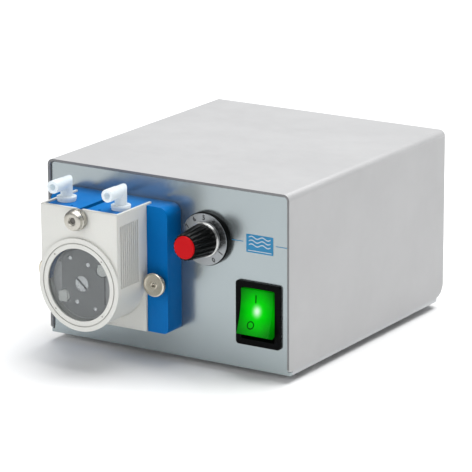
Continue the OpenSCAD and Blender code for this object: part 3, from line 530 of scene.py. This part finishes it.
M["nickel_nut"] = surface("nickel_nut", (0.47, 0.455, 0.41), 0.26, metal=1.0, vary=0.04, tint=(0.43, 0.405, 0.35), speck=0.03,
                          bumps=((1200.0, 0.003),), turned=(HEAD[0], 77.5, 5.0, 0.005), edge=0.4,
                          edge_colour=(0.88, 0.87, 0.84), crevice_shade=0.5, crevice_shade_mm=1.0, rough_vary=0.06, round_mm=0.1)
f = CASE_Y - 42.0
nut = lathe("clamp_nut_turned",
            [(f + 5.5, 1.56, 0), (f + 0.85, 1.56, 0), (f + 0.8, 1.9, 0), (f + 0.25, 1.92, 0), (f + 0.05, 2.15, 0), (f, 2.4, 0),
             (f, 3.55, 0), (f + 0.08, 3.75, 0), (f + 0.12, 4.2, 0), (f + 0.45, 4.75, 0), (f + 0.9, 4.9, 0), (f + 2.25, 4.9, 0),
             (f + 2.35, 4.95, 0), (f + 2.42, 5.15, 0), (f + 2.7, 5.37, 0.3), (f + 2.95, 5.4, 1), (f + 4.85, 5.4, 1),
             (f + 5.15, 5.35, 0.3), (f + 5.45, 5.05, 0), (f + 5.5, 4.7, 0)],
            HEAD[0], 77.5, "nickel_nut", "bolt_nut", n=256, teeth=64, depth=0.14)
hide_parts("clamp_nut")

# ------------------------------------------------------------------ the rubber tube inside the head
TRACK, TUBE_R, ELBOW_Y = 18.8, 2.8, -79.3


def half_height(h):
    return TUBE_R if h >= 16.6 else min(TUBE_R, (TRACK - 0.1 - math.sqrt(276 - h * h)) / 2)


def tube_stations():
    st = [(-1, h, 180.0) for h in [35.5 - 1.15 * i for i in range(24)] + [8.8 - 1.1 * i for i in range(8)]]
    st += [(0, 0.0, 180 + 180 * i / 48) for i in range(49)]
    st += [(1, h, 0.0) for h in [1.1 + 1.1 * i for i in range(8)] + [9.05 + 1.15 * i for i in range(24)]]
    return st


def tube_ring_at(s, h, ang, wall, n=28):
    a0 = half_height(0.0 if s == 0 else h)
    b0 = TUBE_R + (TUBE_R - a0) * 0.55
    a, b, c = a0 - wall, b0 - min(wall, 1.2), TRACK - 0.1 - a0
    pts = []
    for k in range(n):
        t = 2 * math.pi * k / n
        u, v = a * math.cos(t), b * math.sin(t)
        if s == 0:
            w = math.radians(ang)
            pts.append(((HEAD[0] + (c + u) * math.cos(w)) * MM, (ELBOW_Y + v) * MM, (HEAD[1] + (c + u) * math.sin(w)) * MM))
        else:
            pts.append(((HEAD[0] + s * (c + u)) * MM, (ELBOW_Y + v) * MM, (HEAD[1] + h) * MM))
    return pts


def tube_mesh():
    st, n = tube_stations(), 28
    verts, faces = [], []
    for wall in (0.0, 0.6):
        for s, h, ang in st:
            verts += tube_ring_at(s, h, ang, wall if half_height(0.0 if s == 0 else h) < 1.9 else wall * 2, n)
    m = len(st)
    for j in range(m - 1):
        for k in range(n):
            a, b = j * n + k, j * n + (k + 1) % n
            c, d = a + n, b + n
            q = m * n
            faces.append((a, b, d, c))
            faces.append((a + q, c + q, d + q, b + q))
    for k in range(n):
        a, b, q = k, (k + 1) % n, m * n
        faces.append((a, a + q, b + q, b))
        e = (m - 1) * n
        faces.append((e + a, e + b, e + b + q, e + a + q))
    return verts, faces


v, f = tube_mesh()
tube = add_mesh("pump_tube_soft", v, f, "tube_rubber", "case")
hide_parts("pump_tube")

# ------------------------------------------------------------------ thin outer edge of the rotor's flange
v, f = ring_xz(HEAD[0], HEAD[1], 16.6, 18.3, CASE_Y - 32.15, CASE_Y - 31.55, n=96)
add_mesh("rotor_flange_edge", v, f, "rotor_light_grey", "rotor")

# ------------------------------------------------------------------ end pads of the guide rollers on the rotor's face
for name, a in (("rotor_pad_right", 35), ("rotor_pad_left", 215)):
    t = math.radians(a)
    px, pz = HEAD[0] + 14.3 * math.cos(t), HEAD[1] + 14.3 * math.sin(t)
    v, f = extrude_xz([(px + x, pz + z) for x, z in rounded(-2.5, 2.5, -2.5, 2.5, 0.5, 5)], CASE_Y - 33.95, CASE_Y - 33.62)
    add_mesh(name, v, f, "roller_white", "rotor")

# ------------------------------------------------------------------ dial: numbers and marks on the turning skirt
kx, kz = KNOB
y1, y0 = CASE_Y - 2.685, CASE_Y - 2.73
parts = []
for k in range(11):
    a = 90 + (k - 5) * 30
    t = math.radians(a)
    parts.append(numeral(str(k), 3.2 if k < 10 else 2.8, 0.11, y0, y1, kx + 10.75 * math.cos(t), kz + 10.75 * math.sin(t), a - 90))
for k in range(21):
    a = math.radians(-60 + k * 15)
    long_ = k % 2 == 0
    r0, r1, w = (12.25, 12.75, 0.11) if long_ else (12.4, 12.75, 0.08)
    c, s = math.cos(a), math.sin(a)
    q = [(r0, -w), (r1, -w), (r1, w), (r0, w)]
    parts.append(extrude_xz([(kx + r * c - u * s, kz + r * s + u * c) for r, u in q], y0, y1))
v, f = merge(parts)
add_mesh("dial_numbers", v, f, "print_dark", "knob", smooth=False)

# ------------------------------------------------------------------ printed lines and a plain badge on the panel
for name, xa, xb in (("panel_line_left", 37.2, 43.6), ("panel_line_right", 61.9, 68.2)):
    v, f = extrude_xz([(xa, 67.32), (xb, 67.32), (xb, 67.68), (xa, 67.68)], PANEL_Y - 0.05, PANEL_Y + 0.02)
    add_mesh(name, v, f, "print_blue", "case", smooth=False)
bx0, bx1, bz0, bz1 = 45.3, 60.4, 62.6, 71.6
v, f = extrude_xz(rounded(bx0, bx1, bz0, bz1, 0.35, 4), PANEL_Y - 0.10, PANEL_Y + 0.02)
add_mesh("badge_plate", v, f, "print_blue", "case", smooth=False)
ya, yb = PANEL_Y - 0.13, PANEL_Y - 0.09
bcx, bcz = 52.85, 67.9


def wave(z0, amp, w, n=36):
    """A wavy ribbon across the badge."""
    mid = [(bx0 + 1.5 + (bx1 - bx0 - 3.0) * i / n, z0 + amp * math.sin(4 * math.pi * i / n)) for i in range(n + 1)]
    return extrude_xz([(x, z - w / 2) for x, z in mid] + [(x, z + w / 2) for x, z in reversed(mid)], ya, yb)


parts = [wave(bcz + h, 0.55, 0.5) for h in (-1.55, 0.35, 2.25)]
parts.append(extrude_xz([(bx0 + 0.9, bz0 + 0.75), (bx1 - 0.9, bz0 + 0.75), (bx1 - 0.9, bz0 + 1.15), (bx0 + 0.9, bz0 + 1.15)], ya, yb))
v, f = merge(parts)
add_mesh("badge_sign", v, f, "print_white", "case", smooth=False)

# ------------------------------------------------------------------ on and off marks on the rocker
PIV = Vector((52.5, CASE_Y + 4.8, 32.3))
tilt = Matrix.Rotation(math.radians(-12), 3, "X")


def on_rocker(points3):
    """Points given on the untilted rocker, measured from its pivot in mm, placed on it as it rests."""
    return [tuple((PIV + tilt @ Vector(p)) * MM) for p in points3]


def rocker_face(z):
    """How far in front of the pivot the rocker's face is at height z above it."""
    return 6.9 + 1.4 * min(abs(z), 11.0) ** 2 / 121.0


def strip_on_rocker(path, w):
    """A thin raised line along path [(x, z)] on the rocker's face."""
    verts, faces = [], []
    n = len(path)
    closed = path[0] == path[-1]
    m = n - 1 if closed else n
    for i in range(m):
        p = path[i]
        a = path[(i - 1) % m] if closed else path[max(0, i - 1)]
        b = path[(i + 1) % m] if closed else path[min(n - 1, i + 1)]
        dx, dz = b[0] - a[0], b[1] - a[1]
        L = math.hypot(dx, dz)
        nx, nz = -dz / L, dx / L
        for k in (-1, 1):
            x, z = p[0] + nx * w * k / 2, p[1] + nz * w * k / 2
            y = rocker_face(z)
            verts += [(x, -y - 0.05, z), (x, -y + 0.05, z)]
    for i in range(m if closed else m - 1):
        j = (i + 1) % m
        a, b = 4 * i, 4 * j
        faces += [(a, a + 2, b + 2, b), (a + 1, b + 1, b + 3, a + 3), (a, b, b + 1, a + 1), (a + 2, a + 3, b + 3, b + 2)]
    if not closed:
        e = 4 * (m - 1)
        faces += [(0, 1, 3, 2), (e, e + 2, e + 3, e + 1)]
    return on_rocker(verts), faces


circle = [(-2.0 + 1.75 * math.cos(2 * math.pi * i / 40), -6.2 + 1.75 * math.sin(2 * math.pi * i / 40)) for i in range(40)]
circle.append(circle[0])
v, f = merge([strip_on_rocker([(-0.45, 4.8 + 0.55 * i) for i in range(8)], 0.6), strip_on_rocker(circle, 0.5)])
add_mesh("rocker_marks", v, f, "print_green", "rocker", smooth=False)

# ------------------------------------------------------------------ floor, lights, camera
g = Net("floor_white")
tone = g.mix(g.noise(3.0, 3.0), (0.93, 0.93, 0.93), (0.945, 0.945, 0.945))
b = g.node("ShaderNodeBsdfPrincipled", {"Base Color": tone, "Roughness": 0.6, "Specular IOR Level": 0.25,
                                        "Normal": g.bump(g.noise(600.0), 0.01)})
g.t.links.new(b.outputs[0], g.out.inputs["Surface"])
me = bpy.data.meshes.new("studio_floor")
N, S = 24, 6.0
grid = [(-S + 2 * S * i / N, -S + 2 * S * j / N, 0.0) for j in range(N + 1) for i in range(N + 1)]
quads = [(j * (N + 1) + i, j * (N + 1) + i + 1, (j + 1) * (N + 1) + i + 1, (j + 1) * (N + 1) + i) for j in range(N) for i in range(N)]
me.from_pydata(grid, [], quads)
me.materials.append(g.m)
floor = bpy.data.objects.new("studio_floor", me)
bpy.context.scene.collection.objects.link(floor)

world = bpy.data.worlds.new("studio")
bpy.context.scene.world = world
world.use_nodes = True
world.node_tree.nodes["Background"].inputs[0].default_value = (0.96, 0.98, 1.0, 1.0)
world.node_tree.nodes["Background"].inputs[1].default_value = 0.28


def softbox(name, at, aim, w, h, power, colour=(1.0, 1.0, 1.0)):
    light = bpy.data.lights.new(name, "AREA")
    light.shape = "RECTANGLE"
    light.size, light.size_y = w, h
    light.energy = power
    light.color = colour
    o = bpy.data.objects.new(name, light)
    bpy.context.scene.collection.objects.link(o)
    at, aim = Vector(at), Vector(aim)
    o.location = at
    o.rotation_mode = "QUATERNION"
    o.rotation_quaternion = (aim - at).to_track_quat("-Z", "Y")
    return o


softbox("overhead", (0.25, 0.55, 1.9), (0.0, 0.1, 0.0), 2.2, 1.8, 64.0)
softbox("front_fill", (-0.5, -2.2, 1.2), (0.0, 0.0, 0.05), 1.6, 1.2, 22.0)

scene = bpy.context.scene
scene.view_settings.view_transform = "Standard"
scene.view_settings.look = "None"

az, el, roll = math.radians(32.265), math.radians(15.543), math.radians(-0.2375)
back = Vector((math.sin(az) * math.cos(el), -math.cos(az) * math.cos(el), math.sin(el)))
fwd = -back
right = fwd.cross(Vector((0, 0, 1))).normalized()
up = right.cross(fwd).normalized()
r2 = right * math.cos(roll) + up * math.sin(roll)
u2 = up * math.cos(roll) - right * math.sin(roll)
cam = bpy.data.cameras.new("camera")
cam.sensor_width = 36.0
cam.lens = 234.32
cam.clip_start, cam.clip_end = 0.05, 30.0
cam_o = bpy.data.objects.new("camera", cam)
scene.collection.objects.link(cam_o)
pos = Vector((0.0402, -0.056, 0.0699)) + back * 1.4704
cam_o.matrix_world = Matrix(((r2.x, u2.x, back.x, pos.x), (r2.y, u2.y, back.y, pos.y), (r2.z, u2.z, back.z, pos.z),
                             (0, 0, 0, 1)))
scene.camera = cam_o
